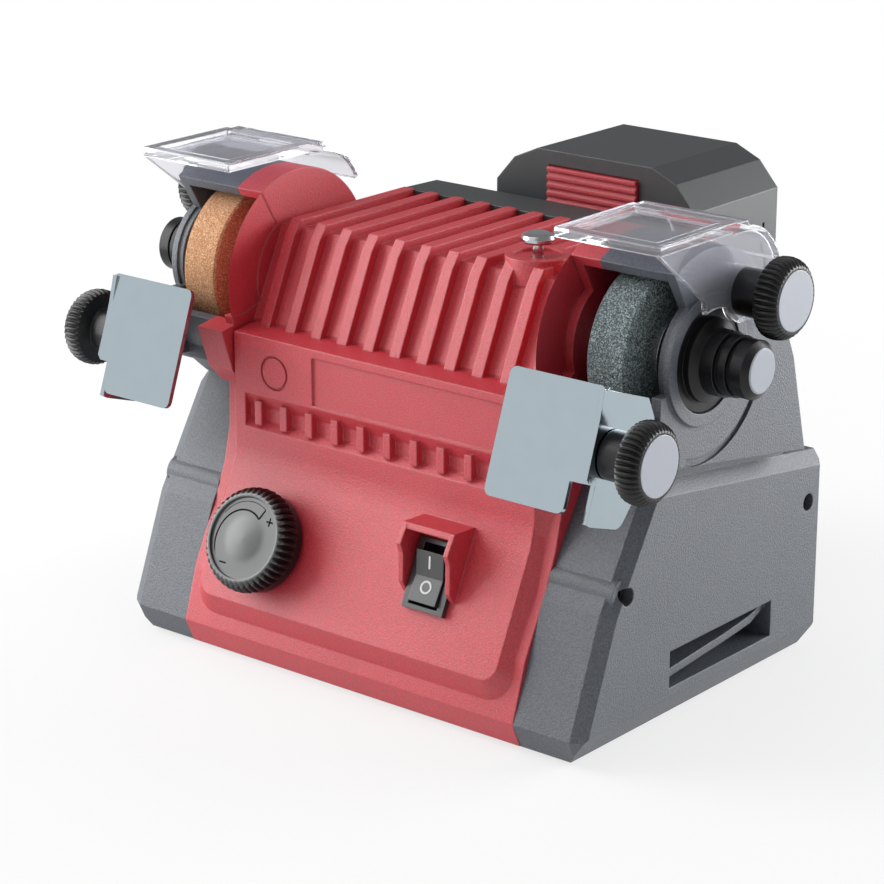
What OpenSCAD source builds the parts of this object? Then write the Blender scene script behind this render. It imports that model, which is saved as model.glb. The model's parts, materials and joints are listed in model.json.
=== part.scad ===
// Cordless twin-wheel bench grinder, all sizes in millimetres.
// Origin under the middle of the base, X to the right, Y to the back, Z up.

/* [Wheels] */
// Wheel diameter
wheel_d = 50; // [46:0.5:52]
// Wheel thickness
wheel_t = 13; // [11:0.5:13.5]
// Distance of each wheel's middle from the centre plane
wheel_x = 76.4; // [75.6:0.1:76.7]
// Spindle diameter
spindle_d = 8; // [7:0.5:9]
// Flange diameter
flange_d = 26; // [20:0.5:30]
// Spindle axis, front to back
axis_y = -11.4; // [-12.4:0.1:-10.4]
// Spindle axis height above the housing underside
axis_z = 109.3; // [108.3:0.1:110.3]

/* [Housing] */
// Half width of the red body
body_half = 63.5; // [62:0.1:65]
// Width of each dark end housing
end_w = 24; // [21:0.5:26]
// Front of the toe
toe_y = 59.3; // [57:0.1:62]
// Height of the lower edge chamfer
toe_z = 7.5; // [6:0.1:9]
// Back of the housing
rear_y = 60; // [58:0.5:64]
// Wall thickness
wall = 3; // [2.4:0.1:3.6]
// Height of the rubber feet below the housing
foot_h = 1.2; // [0.8:0.1:2.5]
// Number of cooling fins
fin_n = 11; // [9:2:13]
// Fin thickness
fin_t = 3.8; // [3:0.1:5]
// Fin height above the valley
fin_h = 2.8; // [2:0.1:3.4]

/* [Guards] */
// Gap between wheel rim and guard
guard_gap = 3.5; // [3:0.1:4]
// Guard shell thickness
guard_wall = 3.2; // [2.8:0.1:3.6]
// Inner face of the red hood
hood_x = 57.8; // [57:0.1:59]
// Split between red hood and dark guard
split_x = 67.7; // [67:0.1:68.5]
// Outer face of the guard
guard_x = 92.5; // [91.5:0.1:94]

/* [Work rests] */
// Rest width
rest_w = 32.2; // [31:0.1:33]
// Rest plate height
rest_h = 36; // [30:0.5:38]
// Rest sheet thickness
rest_t = 1.5; // [1.2:0.1:2]
// Rest bolt diameter
bolt_d = 5; // [4:0.5:6]

/* [Knobs] */
// Knob diameter
knob_d = 23.4; // [20:0.2:25]
// Knob grip length
knob_t = 7.5; // [6:0.1:9]
// Number of grip teeth
knob_n = 40; // [24:1:48]

/* [Eye shields] */
// Shield window length, front to back
win_l = 36.4; // [30:0.2:38]
// Shield window width
win_w = 35.2; // [33:0.1:36]
// Shield sheet thickness
win_t = 1.6; // [1.2:0.1:2]
// Shield drum radius about its pivot
drum_r = 18.4; // [17.6:0.1:19]

/* [Controls] */
// Speed dial diameter
dial_d = 32; // [26:0.5:34]
// Speed dial height
dial_h = 11; // [8:0.5:13]
// Switch bezel width
bezel_w = 15; // [13:0.2:16]
// Switch bezel height
bezel_h = 21; // [19:0.2:22]
// Lock pin diameter
lock_d = 3.4; // [3:0.1:4]

/* [Battery] */
// Battery width
bat_w = 76; // [74:1:80]
// Battery depth
bat_d = 46; // [46:1:52]
// Battery height
bat_h = 102; // [102:1:108]

/* [Fits] */
// Clearance between parts that move
fit = 0.35; // [0.3:0.05:0.5]
// Radial clearance of running fits
run = 0.05; // [0.02:0.01:0.08]

/* [Hidden] */
$fn = 48;
e = 0.01;
ay = axis_y;
az = axis_z;
wr = wheel_d/2;
cr = wr + guard_gap;
gr = cr + guard_wall;
end_x = body_half + end_w;
chamber_in = hood_x + wall;
chamber_out = guard_x - wall;
wheel_in = wheel_x - wheel_t/2;
wheel_out = wheel_x + wheel_t/2;
fl_t = 2.2;
nut_t = 3.6;
nut_af = 12;
bear_d = spindle_d + 14;
bear_t = 7;
motor_r = 12.2;
motor_l = 54;
fin_top = az + 18.7;
mid_y = 33;
// Front outline of the body, from the toe up
front = [[-toe_y, toe_z], [-53.9, 25.2], [-45, 42.4], [-40.4, 54.1], [-37.8, 65], [-37.6, 86]];
panel_lo = 19;
panel_w = 57;
ledge_z = az - 12.6;
panel = [[-56.6, panel_lo], [-59, panel_lo + 2.6], [-43.67, 54], [-42.2, 62], [-41.8, 70], [-42, ledge_z]];
// Front edge of the guard's outer wall
guard_f = -32.5;
// Lower outline of the end housings
end_top_f = 75.5;
end_top_r = 63.5;
end_pts = [[-toe_y + 3.6, 0], [-toe_y, toe_z], [-46.2, 41.4], [-25.5, end_top_f], [rear_y, end_top_r], [rear_y, 0]];
// Bevel of the side panel along each of those edges: across X, down the face
end_bev = [[4.2, 2.6], [4.2, 2.6], [4.2, 2.6], [3.2, 4.4], [1.2, 1.2], [6.2, 8.6]];
function top_z(y) = end_top_f + (end_top_r - end_top_f)*(y + 25.5)/(rear_y + 25.5);
// Tilt of the front face at the controls
tilt = atan2(panel[2][0] - panel[1][0], panel[2][1] - panel[1][1]);
function panel_y(z) = panel[1][0] + (z - panel[1][1])*tan(tilt);
dial_c = [-36.5, panel_y(36.4), 36.4];
sw_c = [27.5, panel_y(40.6), 40.6];
rocker_w = bezel_w - 5;
rocker_h = bezel_h - 6;
rock_rest = 9;
rock_pin = 1.1;
// Work rest
rest_in = 59.7;
rest_out = rest_in + rest_w;
rp_y = -54;
rp_z = 92.3;
rest_tilt = 70.3;
rest_off = 8.85;
rest_up = 17.6;
arm_r = 6.6;
arm_out = rest_out - rest_t - fit;
knob_hub = 7;
hub_l = 7.75;
rest_knob_x = rest_out + fit;
// Shield pivot
sp_y = ay + 13.4;
sp_z = az + 17.2;
boss_h = 1.1;
boss_r = 19;
side_in = guard_x + boss_h + fit + 0.05;
win_out = side_in + win_t;
win_in = win_out - win_w;
win_z = sp_z + drum_r + 2.2;
shield_knob_x = win_out + fit;
// Spindle lock
lock_x = motor_l/2 + 7;
lock_seat = fin_top - 0.6;
lock_rim = 7.2;
lock_gap = 4.3;
lock_hole = fin_top - 10.4;
spring_r = lock_d/2 + 0.75;
spring_wire = 0.3;
spring_n = 6;
collar_z = fin_top - 3;
side_holes = [[-38.7, 45.8], [53, 48.8]];
slot_y0 = -17.6;
slot_y1 = 34.6;
slot_z0 = 11.6;
slot_z1 = 22.9;
cap_plug = 15;
cap_r = 8.4;
cap_l = 18.8;
spin_end = wheel_out + fl_t + nut_t + 2;
knob_disc = knob_d/2 - 3.1;
board_z = 14;
win_y = ay - 27.6;
win_rim = 3;
// Battery and dock
dock_w = 20;
dock_n = 14;
dock_lo = 44;
dock_hi = 108;
bat_y = rear_y + 1;
bat_lo = 38;
cell_l = bat_w - 11;
btn_w = 34;
btn_h = 15;
bat_top = bat_lo + bat_h;
btn_z = bat_top - 20;
bush_r = 4.8;
// Middle of the whole object, front to back
front_y = rp_y + (rest_up - rest_h)*cos(rest_tilt) - rest_off*sin(rest_tilt);
y_mid = (bat_y + bat_d + front_y)/2;

module xext(x0, x1) translate([x0, 0, 0]) rotate([90, 0, 90]) linear_extrude(x1 - x0) children();
module up() translate([0, -y_mid, foot_h]) children();
module xcyl(x0, x1, r, y, z) translate([x0, y, z]) rotate([0, 90, 0]) cylinder(h = x1 - x0, r = r);
module box(x0, x1, y0, y1, z0, z1) translate([x0, y0, z0]) cube([x1 - x0, y1 - y0, z1 - z0]);
module both() { children(); mirror([1, 0, 0]) children(); }
// Frame lying on the sloped front face, local z out of the face
module face(c) translate(c) rotate([90 - tilt, 0, 0]) children();
// Toothed disc outline
module teeth(n, ro, ri) polygon([for (i = [0 : 4*n - 1]) let (r = (i % 4) < 2 ? ro : ri, a = i*90/n)
  [r*cos(a), r*sin(a)]]);

// Outline of the guard seen from the side
module guard_2d(zf) {
  translate([ay, az]) circle(gr);
  polygon([[-32.5, 81.5], [-25.5, zf + top_z(-25.5)], [42.6, zf + top_z(42.6)], [33.8, 99.7],
    [29, 110], [19, 118.5], [13, 124], [ay, az], [-32.5, 102.5]]);
}
// Hollow round the wheel, open to the front
module chamber_2d() {
  translate([ay, az]) circle(cr);
  polygon([[ay, az], [ay - 60*sin(31), az + 60*cos(31)], [ay - 62, az + 40], [ay - 62, 97.2],
    [-46.5, 97.2], [-36, 99]]);
  polygon([[-6, 83], [37, 75], [30.5, 98], [26, 107], [16, 115]]);
}

module main_housing() up() color([0.70, 0.10, 0.13]) difference() {
  union() {
    xext(-body_half, body_half) polygon(concat([[-toe_y + 3.4, 0]], front, [[mid_y, 86], [mid_y, 0]]));
    xext(-panel_w, panel_w) polygon(concat(panel, [[-34, ledge_z + 1], [-20, ledge_z], [-20, panel_lo]]));
    xext(-hood_x, hood_x) polygon([[ay - 20.6, 80], [ay - 20.6, az - 11], [ay - 7.4, fin_top - fin_h],
      [mid_y, fin_top - fin_h], [mid_y, 80]]);
    for (i = [0 : fin_n - 1]) translate([(i - (fin_n - 1)/2)*102/(fin_n - 1), 0, 0])
      xext(-fin_t/2, fin_t/2) polygon([[ay - 20, az - 14], [ay - 23.6, az - 11.6], [ay - 11.8, az + 14.2],
        [ay - 8.4, fin_top], [mid_y, fin_top], [mid_y, fin_top - 8], [ay - 2, fin_top - 8]]);
    both() xext(hood_x - e, split_x) {
      intersection() { guard_2d(0); translate([-80, 60]) square([160, 120]); }
      polygon([[-46.5, 97.2], [-36, 99], [-30, 84], [-36, 78], [-42, 84]]);
    }
    translate([lock_x, ay, fin_top - 6]) cylinder(h = 7.6, r = 9.6);
    // switch hood
    face(sw_c) for (s = [-1, 1]) translate([s*(bezel_w/2 + 2.1) - 1.2, -2, -3]) cube([2.4, 16, 11.5]);
    face(sw_c) translate([-bezel_w/2 - 3.3, bezel_h/2 + 1.4, -3]) cube([bezel_w + 6.6, 2.4, 11.5]);
    // row of short ribs
    for (i = [0 : 8]) translate([-48 + i*10.2, 0, 0]) xext(-0.9, 0.9)
      polygon([[-40, 76.4], [-43.4, 75.6], [-43.4, 69.4], [-40, 67.6]]);
  }
  // wheel chambers
  both() xext(chamber_in, split_x + 1) chamber_2d();
  both() difference() {
    xext(hood_x - 1, chamber_in + e) polygon([[ay, az], [ay - 60*sin(31), az + 60*cos(31)],
      [ay - 62, az + 40], [ay - 62, 101], [ay - 24, 101]]);
    box(0, hood_x, -80, 80, 60, 160);
    xcyl(0, 90, 18.8, ay, az);
  }
  // lower hollow, motor bore and bearing seats
  xext(-body_half + wall, body_half - wall) polygon([[-toe_y + 6.5, -1], [-toe_y + 6.5, 3], [-50, 27],
    [-41.4, 44], [-37, 55], [-34.4, 66], [-34.4, 82], [mid_y - wall, 82], [mid_y - wall, -1]]);
  xext(-hood_x + wall, hood_x - wall) polygon([[ay - 14, 80], [ay - 14, az - 15], [0, az - 9], [8, fin_top - fin_h - wall],
    [mid_y - wall, fin_top - fin_h - wall], [mid_y - wall, 80]]);
  xcyl(-motor_l/2 - 4, motor_l/2 + 4, motor_r, ay, az);
  xcyl(-hood_x + 2, hood_x - 2, bear_d/2, ay, az);
  xcyl(-split_x, split_x, spindle_d/2 + 2.2, ay, az);
  // label recess, round emblem recess, control openings
  xext(-26, 46) polygon([[-50, 94], [-41.3, 94], [-41.3, 79], [-50, 79]]);
  translate([-41, -41.2, 86.4]) rotate([90, 0, 0]) difference() { cylinder(h = 9, r = 5.4); cylinder(h = 9, r = 4.6); }
  face(dial_c) translate([0, 0, -20]) cylinder(h = 40, r = 4.2);
  face(sw_c) translate([-bezel_w/2 + 1, -bezel_h/2 + 1, -20]) cube([bezel_w - 2, bezel_h - 2, 40]);
  translate([lock_x, ay, az]) cylinder(h = 40, r = bush_r);
  translate([lock_x, ay, lock_seat]) cylinder(h = 9, r = lock_rim);
}

module rear_housing() up() color([0.17, 0.18, 0.19]) difference() {
  union() {
    xext(-body_half, body_half) polygon([[mid_y, 0], [rear_y, 0], [rear_y, end_top_r], [mid_y, top_z(mid_y)]]);
    xext(-hood_x + 4, hood_x - 4) polygon([[mid_y, 60], [rear_y, 60], [rear_y, 112], [50, fin_top - 1],
      [mid_y, fin_top - 0.5]]);
    box(-dock_n, dock_n, rear_y - 1, rear_y + 4, dock_lo, dock_hi);
    box(-dock_w, dock_w, rear_y + 4, rear_y + 7, dock_lo, dock_hi);
  }
  xext(-hood_x + 4 + wall, hood_x - 4 - wall) polygon([[mid_y - 1, 3], [rear_y - wall, 3],
    [rear_y - wall, 110], [48, fin_top - 4.4], [mid_y - 1, fin_top - 4.4]]);
  for (i = [-2 : 5]) translate([-8 + i*8.6, 48, fin_top + 4]) rotate([70, 0, 0])
    cylinder(h = 60, r = 3.4, center = true);
}

// Lower box of an end housing with its bevelled side panel
module end_box() difference() {
  xext(body_half, end_x) polygon(end_pts);
  for (i = [0 : len(end_pts) - 1]) let (p = end_pts[i], q = end_pts[(i + 1) % len(end_pts)], b = end_bev[i],
    l = norm(q - p))
    translate([end_x, p[0], p[1]]) rotate([atan2(q[1] - p[1], q[0] - p[0]), 0, 0]) translate([0, l + 12, 0])
      rotate([90, 0, 0]) linear_extrude(l + 24)
      polygon([[-b[0], 0], [0, -b[1]], [1, -b[1]], [1, 1], [-b[0], 1]]);
}

// Guard round the wheel, without its boss and arm
module guard() difference() {
  xext(split_x, guard_x) guard_2d(0);
  // the guard's outer wall overhangs the lower box
  xext(end_x - 3, guard_x + 1) polygon([[-45, 60], [-45, 80.6], [-25.5, 80.6], [50.6, 68], [60, 60]]);
  xext(chamber_in, chamber_out) chamber_2d();
  // front edge of the outer wall
  box(chamber_out - 0.5, guard_x + 1, -80, guard_f, 70, az + 10);
  xext(chamber_out - 0.5, guard_x + 1) difference() {
    polygon([[ay - 4, az + 7], [ay - 60*sin(31), az + 60*cos(31)], [-70, 140], [-70, 102.6], [-24, 102.6]]);
    translate([ay, az]) circle(boss_r - 0.6);
  }
}

module end_shell() difference() {
  union() {
    difference() {
      end_box();
      xext(body_half - 1, end_x - 9) polygon([[-toe_y + 8, 3], [-toe_y + 5, toe_z + 2], [-42, 40], [-24, 68],
        [-22.5, 71], [rear_y - wall, end_top_r - 5], [rear_y - wall, 3]]);
      xext(end_x - 10, end_x - wall) polygon([[-toe_y + 9, 12], [-40, 40], [-22, 67],
        [-20, 69.5], [rear_y - wall, end_top_r - 6], [rear_y - wall, 12]]);
    }
    guard();
    xcyl(guard_x - 1, guard_x + boss_h, boss_r, ay, az);
    // arm that carries the work rest
    xext(wheel_out + 1.9, arm_out) {
      translate([rp_y, rp_z]) circle(arm_r);
      polygon([[rp_y, rp_z - arm_r], [rp_y, rp_z + arm_r], [-29.7, rp_z + 5], [-27, 84], [-31.6, 82.6]]);
    }
    // posts behind the side screws, tub of the tool pocket
    for (h = side_holes) xcyl(body_half, end_x - 2, 4.8, h[0], h[1]);
    box(end_x - 14, end_x - 2, slot_y0 - 2, slot_y1 + 2, slot_z0 - 2, slot_z1 + 2);
  }
  xcyl(chamber_out - 1, guard_x + 3, cap_plug + fit, ay, az);
  // curved groove on the guard's face
  xext(guard_x - 1, guard_x + 1) intersection() {
    translate([ay, az]) difference() { circle(30.6); circle(28.4); }
    polygon([[ay, az], [ay - 12, az - 40], [ay + 60, az - 60], [ay + 40, az - 4]]);
  }
  // side screw recesses and tool pocket
  for (h = side_holes) xcyl(end_x - 6, end_x + 1, 2.7, h[0], h[1]);
  for (h = side_holes) xcyl(body_half + 4, end_x, 1.5, h[0], h[1]);
  difference() {
    box(end_x - 12, end_x + 1, slot_y0, slot_y1, slot_z0, slot_z1);
    xext(end_x - 13, end_x - 2.4) polygon([[slot_y0 - 1, slot_z0 + 4], [14, slot_z0 + 6.6], [26, slot_z0 + 8],
      [slot_y1 + 1, slot_z1 - 0.6], [slot_y1 + 1, slot_z1 - 2.2], [27, slot_z0 + 5.6], [14, slot_z0 + 4.2],
      [slot_y0 - 1, slot_z0 + 1.4]]);
  }
  xcyl(chamber_out - 3, guard_x + 3, bolt_d/2, sp_y, sp_z);
  xcyl(wheel_out, guard_x, bolt_d/2, rp_y, rp_z);
}
module end_housing_right() up() color([0.22, 0.23, 0.25]) end_shell();
module end_housing_left() up() color([0.22, 0.23, 0.25]) mirror([1, 0, 0]) end_shell();

module base_plate() up() color([0.12, 0.12, 0.13]) difference() {
  union() {
    box(-body_half + wall, body_half - wall, -toe_y + 6.5, mid_y - wall, 0, 2.4);
    for (x = [-40, 40], y = [-24, 22]) translate([x, y, 2]) cylinder(h = board_z - 2, r = 3);
  }
  for (x = [-12 : 4 : 12]) box(x - 1, x + 1, -20, 16, -1, 4);
}
module rubber_feet() up() color([0.05, 0.05, 0.05]) for (x = [-1, 1], y = [-44, 50])
  translate([x*(body_half + 8), y, -foot_h]) cylinder(h = foot_h, r = 6);
module housing_screws() up() color([0.2, 0.2, 0.21]) both() for (h = side_holes) difference() {
  union() { xcyl(end_x - 6, end_x - 3.4, 2.5, h[0], h[1]); xcyl(body_half + 4, end_x - 5, 1.5, h[0], h[1]); }
  translate([end_x - 4.8, h[0], h[1]]) rotate([0, 90, 0]) cylinder(h = 4, r = 1.5, $fn = 6);
}

module motor_can() up() color([0.62, 0.63, 0.65]) difference() {
  xcyl(-motor_l/2, motor_l/2, motor_r, ay, az);
  xcyl(-motor_l/2 + 2, motor_l/2 - 2, motor_r - 1.4, ay, az);
  xcyl(-motor_l, motor_l, spindle_d/2 + 0.6, ay, az);
}
module motor_magnets() up() color([0.2, 0.2, 0.22]) difference() {
  xcyl(-motor_l/2 + 8, motor_l/2 - 8, motor_r - 1.4, ay, az);
  xcyl(-motor_l, motor_l, motor_r - 3.2, ay, az);
  box(-motor_l, motor_l, ay - 30, ay + 30, az - 3, az + 3);
}
module spindle_bearings() up() color([0.75, 0.76, 0.78]) both() difference() {
  xcyl(hood_x - 2 - bear_t, hood_x - 2, bear_d/2, ay, az);
  xcyl(0, hood_x, spindle_d/2 + run, ay, az);
}
module spindle() up() color([0.72, 0.73, 0.75]) difference() {
  union() {
    xcyl(-spin_end, spin_end, spindle_d/2, ay, az);
    both() xcyl(hood_x - 1.6, wheel_in - fl_t, spindle_d/2 + 1.8, ay, az);
  }
  translate([lock_x, ay, az - 20]) cylinder(h = 40, r = lock_d/2 + 0.5);
}
module rotor_stack() up() color([0.45, 0.4, 0.35]) difference() {
  union() {
    xcyl(-motor_l/2 + 9, motor_l/2 - 9, motor_r - 3.8, ay, az);
    xcyl(-motor_l/2 + 3, -motor_l/2 + 10, spindle_d/2 + 2, ay, az);
  }
  xcyl(-motor_l, motor_l, spindle_d/2, ay, az);
  for (a = [0 : 72 : 359]) translate([0, ay, az]) rotate([a, 0, 0]) box(-motor_l, motor_l, -0.8, 0.8, 6.2, 20);
}
module wheel() translate([0, ay, az]) rotate([0, 90, 0]) rotate_extrude($fn = 96)
  polygon([[spindle_d/2, wheel_in], [wr - 0.6, wheel_in], [wr, wheel_in + 0.6], [wr, wheel_out - 0.6],
    [wr - 0.6, wheel_out], [spindle_d/2, wheel_out]]);
module wheel_right() up() color([0.35, 0.40, 0.39]) wheel();
module wheel_left() up() color([0.72, 0.48, 0.30]) mirror([1, 0, 0]) wheel();
module ring(x0, x1, ro) difference() { xcyl(x0, x1, ro, ay, az); xcyl(x0 - 1, x1 + 1, spindle_d/2, ay, az); }
module inner_flanges() up() color([0.55, 0.56, 0.58]) both() ring(wheel_in - fl_t, wheel_in, flange_d/2);
module outer_flanges() up() color([0.55, 0.56, 0.58]) both() ring(wheel_out, wheel_out + fl_t, flange_d/2);
module wheel_nuts() up() color([0.6, 0.6, 0.62]) both() difference() {
  translate([wheel_out + fl_t, ay, az]) rotate([0, 90, 0]) cylinder(h = nut_t, d = nut_af/cos(30), $fn = 6);
  xcyl(0, 100, spindle_d/2, ay, az);
}

module cap() translate([0, ay, az]) rotate([0, 90, 0]) rotate_extrude()
  polygon([[spindle_d/2 + 1.6, guard_x - 2.4], [cap_plug, guard_x - 2.4], [cap_plug, guard_x + 0.6],
    [cap_r + 3.6, guard_x + 0.6], [cap_r + 3.6, guard_x + 2.6], [cap_r + 1, guard_x + 4], [cap_r + 1, guard_x + 8.4],
    [cap_r - 0.4, guard_x + 8.4], [cap_r - 0.4, guard_x + 9.6], [cap_r + 0.4, guard_x + 9.6],
    [cap_r + 0.4, guard_x + 12], [cap_r - 0.9, guard_x + 12], [cap_r - 0.9, guard_x + 13.2],
    [cap_r, guard_x + 13.2], [cap_r, guard_x + cap_l - 1.8], [cap_r - 2.4, guard_x + cap_l],
    [0, guard_x + cap_l], [0, guard_x + 4], [spindle_d/2 + 1.6, guard_x + 4]]);
module spindle_cap_right() up() color([0.06, 0.06, 0.07]) cap();
module spindle_cap_left() up() color([0.06, 0.06, 0.07]) mirror([1, 0, 0]) cap();

module rest() difference() {
  union() {
    translate([0, rp_y, rp_z]) rotate([rest_tilt, 0, 0])
      box(rest_in, rest_out, rest_up - rest_h, rest_up, rest_off - rest_t, rest_off);
    xext(rest_out - rest_t, rest_out) polygon([[-57.4, 111.4], [-37.2, 104.2], [-34.4, 98], [-33.8, 90], [-37, 81],
      [-44, 75.8], [-49.8, 69.7], [-64.6, 74.6], [-65.4, 80]]);
  }
  translate([0, rp_y, rp_z]) rotate([rest_tilt, 0, 0])
    box(rest_out - 5.4, rest_out + 1, -rest_h, rest_up - rest_h + 9.4, rest_off - rest_t - 3, rest_off + 2);
  xcyl(rest_in, rest_out + 1, bolt_d/2 + run, rp_y, rp_z);
}
module work_rest_right() up() color([0.69, 0.73, 0.76]) rest();
module work_rest_left() up() color([0.69, 0.73, 0.76]) mirror([1, 0, 0]) rest();

module rest_bolts() up() color([0.6, 0.61, 0.63]) both() {
  xcyl(wheel_out + 1.6, rest_knob_x + hub_l + 3, bolt_d/2, rp_y, rp_z);
}
module shield_bolts() up() color([0.6, 0.61, 0.63]) both() {
  xcyl(chamber_out - 2, shield_knob_x + hub_l + 4, bolt_d/2, sp_y, sp_z);
  xcyl(chamber_out - 2, chamber_out, bolt_d/2 + 2, sp_y, sp_z);
}
module knob(x0, l, y, z) translate([x0, y, z]) rotate([0, 90, 0]) difference() {
  union() {
    cylinder(h = l, r = knob_hub);
    translate([0, 0, l - 1]) cylinder(h = 1.6, r1 = knob_hub, r2 = knob_d/2 - 1.3);
    translate([0, 0, l]) linear_extrude(knob_t - 1) teeth(knob_n, knob_d/2, knob_d/2 - 0.8);
    translate([0, 0, l + knob_t - 1]) cylinder(h = 1, r1 = knob_d/2 - 1.1, r2 = knob_d/2 - 2.1);
  }
  translate([0, 0, -1]) cylinder(h = l + 1 + 4.4, r = bolt_d/2 + run);
  translate([0, 0, l + knob_t - 0.8]) cylinder(h = 2, r = knob_disc);
}
module knob_disc_at(x0, l, y, z) xcyl(x0 + l + knob_t - 0.8, x0 + l + knob_t + 0.2, knob_disc, y, z);
module rest_knob_right() up() color([0.05, 0.05, 0.05]) knob(rest_knob_x, hub_l, rp_y, rp_z);
module rest_knob_left() up() color([0.05, 0.05, 0.05]) mirror([1, 0, 0]) knob(rest_knob_x, hub_l, rp_y, rp_z);
module rest_knob_disc_right() up() color([0.7, 0.7, 0.72]) knob_disc_at(rest_knob_x, hub_l, rp_y, rp_z);
module rest_knob_disc_left() up() color([0.7, 0.7, 0.72])
  mirror([1, 0, 0]) knob_disc_at(rest_knob_x, hub_l, rp_y, rp_z);
module shield_knob_right() up() color([0.05, 0.05, 0.05]) knob(shield_knob_x, hub_l + 1.2, sp_y, sp_z);
module shield_knob_left() up() color([0.05, 0.05, 0.05])
  mirror([1, 0, 0]) knob(shield_knob_x, hub_l + 1.2, sp_y, sp_z);
module shield_knob_disc_right() up() color([0.7, 0.7, 0.72]) knob_disc_at(shield_knob_x, hub_l + 1.2, sp_y, sp_z);
module shield_knob_disc_left() up() color([0.7, 0.7, 0.72])
  mirror([1, 0, 0]) knob_disc_at(shield_knob_x, hub_l + 1.2, sp_y, sp_z);

module shield() difference() {
  union() {
    box(win_in, win_out, win_y, win_y + win_l, win_z - win_rim, win_z);
    xext(win_in, win_out) intersection() {
      translate([sp_y, sp_z]) difference() { circle(drum_r); circle(drum_r - win_t); }
      translate([sp_y, sp_z]) polygon([[0, 0], [60, 60*tan(20)], [60, 60], [-4.5, 60]]);
    }
    box(win_in, win_out, win_y + win_l - 1, sp_y + 1, sp_z + drum_r - win_t, win_z - 0.6);
    xext(side_in, win_out) difference() {
      union() {
        polygon([[win_y, win_z], [win_y, win_z - win_rim], [ay - 1.9, az + 15.3], [sp_y, sp_z], [sp_y + 6, sp_z + 14],
          [win_y + win_l, win_z]]);
        translate([sp_y, sp_z]) circle(drum_r);
      }
      for (a = [0 : 6 : 36]) translate([sp_y, sp_z]) rotate(a) translate([ay - sp_y, az - sp_z]) circle(cap_r + 6.4);
    }
    xcyl(side_in, win_out, 9, sp_y, sp_z);
  }
  box(win_in + 3.4, win_out - 3.4, win_y + 3.4, win_y + win_l - 3.4, win_z - win_rim + win_t, win_z + 1);
  xcyl(side_in - 1, win_out + 1, bolt_d/2 + run, sp_y, sp_z);
}
module eye_shield_right() up() color([0.85, 0.86, 0.92, 0.5]) shield();
module eye_shield_left() up() color([0.85, 0.86, 0.92, 0.5]) mirror([1, 0, 0]) shield();

module speed_dial() up() color([0.06, 0.06, 0.06]) face(dial_c) difference() {
  union() {
    translate([0, 0, fit]) cylinder(h = 2.2 - fit, r = dial_d/2 - 1.6);
    translate([0, 0, 2]) linear_extrude(dial_h - 3.2) teeth(44, dial_d/2, dial_d/2 - 1);
    translate([0, 0, dial_h - 1.2]) cylinder(h = 1.2, r1 = dial_d/2 - 1.3, r2 = dial_d/2 - 2.5);
  }
  translate([0, 0, dial_h - 0.9]) cylinder(h = 2, r = dial_d/2 - 3.6);
  translate([0, 0, -1]) cylinder(h = 7, r = 3);
}
module dial_shaft() up() color([0.6, 0.6, 0.62]) face(dial_c) translate([0, 0, -13]) cylinder(h = 19, r = 3);
module speed_pot() up() color([0.15, 0.3, 0.2]) face(dial_c) difference() {
  union() { translate([0, 0, -14.6]) cylinder(h = 7, r = 8.5); translate([0, 0, -8]) cylinder(h = 5, r = 4.2); }
  translate([0, 0, -13 - fit]) cylinder(h = 30, r = 3 + run);
}
module switch_body() up() color([0.05, 0.05, 0.05]) face(sw_c) difference() {
  union() {
    translate([-bezel_w/2, -bezel_h/2, 0]) cube([bezel_w, bezel_h, 1.8]);
    translate([-bezel_w/2 + 1, -bezel_h/2 + 1, -15]) cube([bezel_w - 2, bezel_h - 2, 15.5]);
    for (s = [-6, 0, 6]) translate([-2.4, s - 0.4, -21]) cube([4.8, 0.8, 7]);
  }
  translate([-rocker_w/2 - fit, -rocker_h/2 - 1.6, -6.4]) cube([rocker_w + 2*fit, rocker_h + 3.2, 20]);
  xcyl(-rocker_w/2 - 1.3, rocker_w/2 + 1.3, rock_pin + run, 0, -1);
}
module rocker() up() color([0.03, 0.03, 0.03]) face(sw_c) translate([0, 0, -1]) rotate([rock_rest, 0, 0]) {
  xext(-rocker_w/2, rocker_w/2) polygon([[-rocker_h/2, -0.4], [-rocker_h/2, 5.2], [0, 3.4],
    [rocker_h/2, 5.2], [rocker_h/2, -0.4], [3, -3], [-3, -3]]);
  xcyl(-rocker_w/2 - 1.1, rocker_w/2 + 1.1, rock_pin, 0, 0);
}

module lock_bush() up() color([0.66, 0.10, 0.13]) translate([lock_x, ay, 0]) difference() {
  union() {
    translate([0, 0, fin_top - 12]) cylinder(h = 12, r = bush_r);
    translate([0, 0, lock_seat]) cylinder(h = 1.2, r = lock_rim);
  }
  cylinder(h = 200, r = lock_d/2 + run);
  translate([0, 0, lock_hole]) cylinder(h = collar_z + 1.4 - lock_hole, r = lock_d/2 + 1.1 + fit);
}
module lock_pin() up() color([0.78, 0.79, 0.8]) translate([lock_x, ay, 0]) {
  translate([0, 0, az + spindle_d/2 + 0.6]) cylinder(h = fin_top + 1 + lock_gap - az - spindle_d/2 - 0.6, r = lock_d/2);
  translate([0, 0, collar_z]) cylinder(h = 1, r = lock_d/2 + 1);
  translate([0, 0, fin_top + 0.6 + lock_gap]) rotate_extrude()
    polygon([[0, 0], [4.2, 0], [4.9, 0.7], [5, 1.5], [4.5, 2.4], [3.2, 3], [0, 3.2]]);
}
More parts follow.
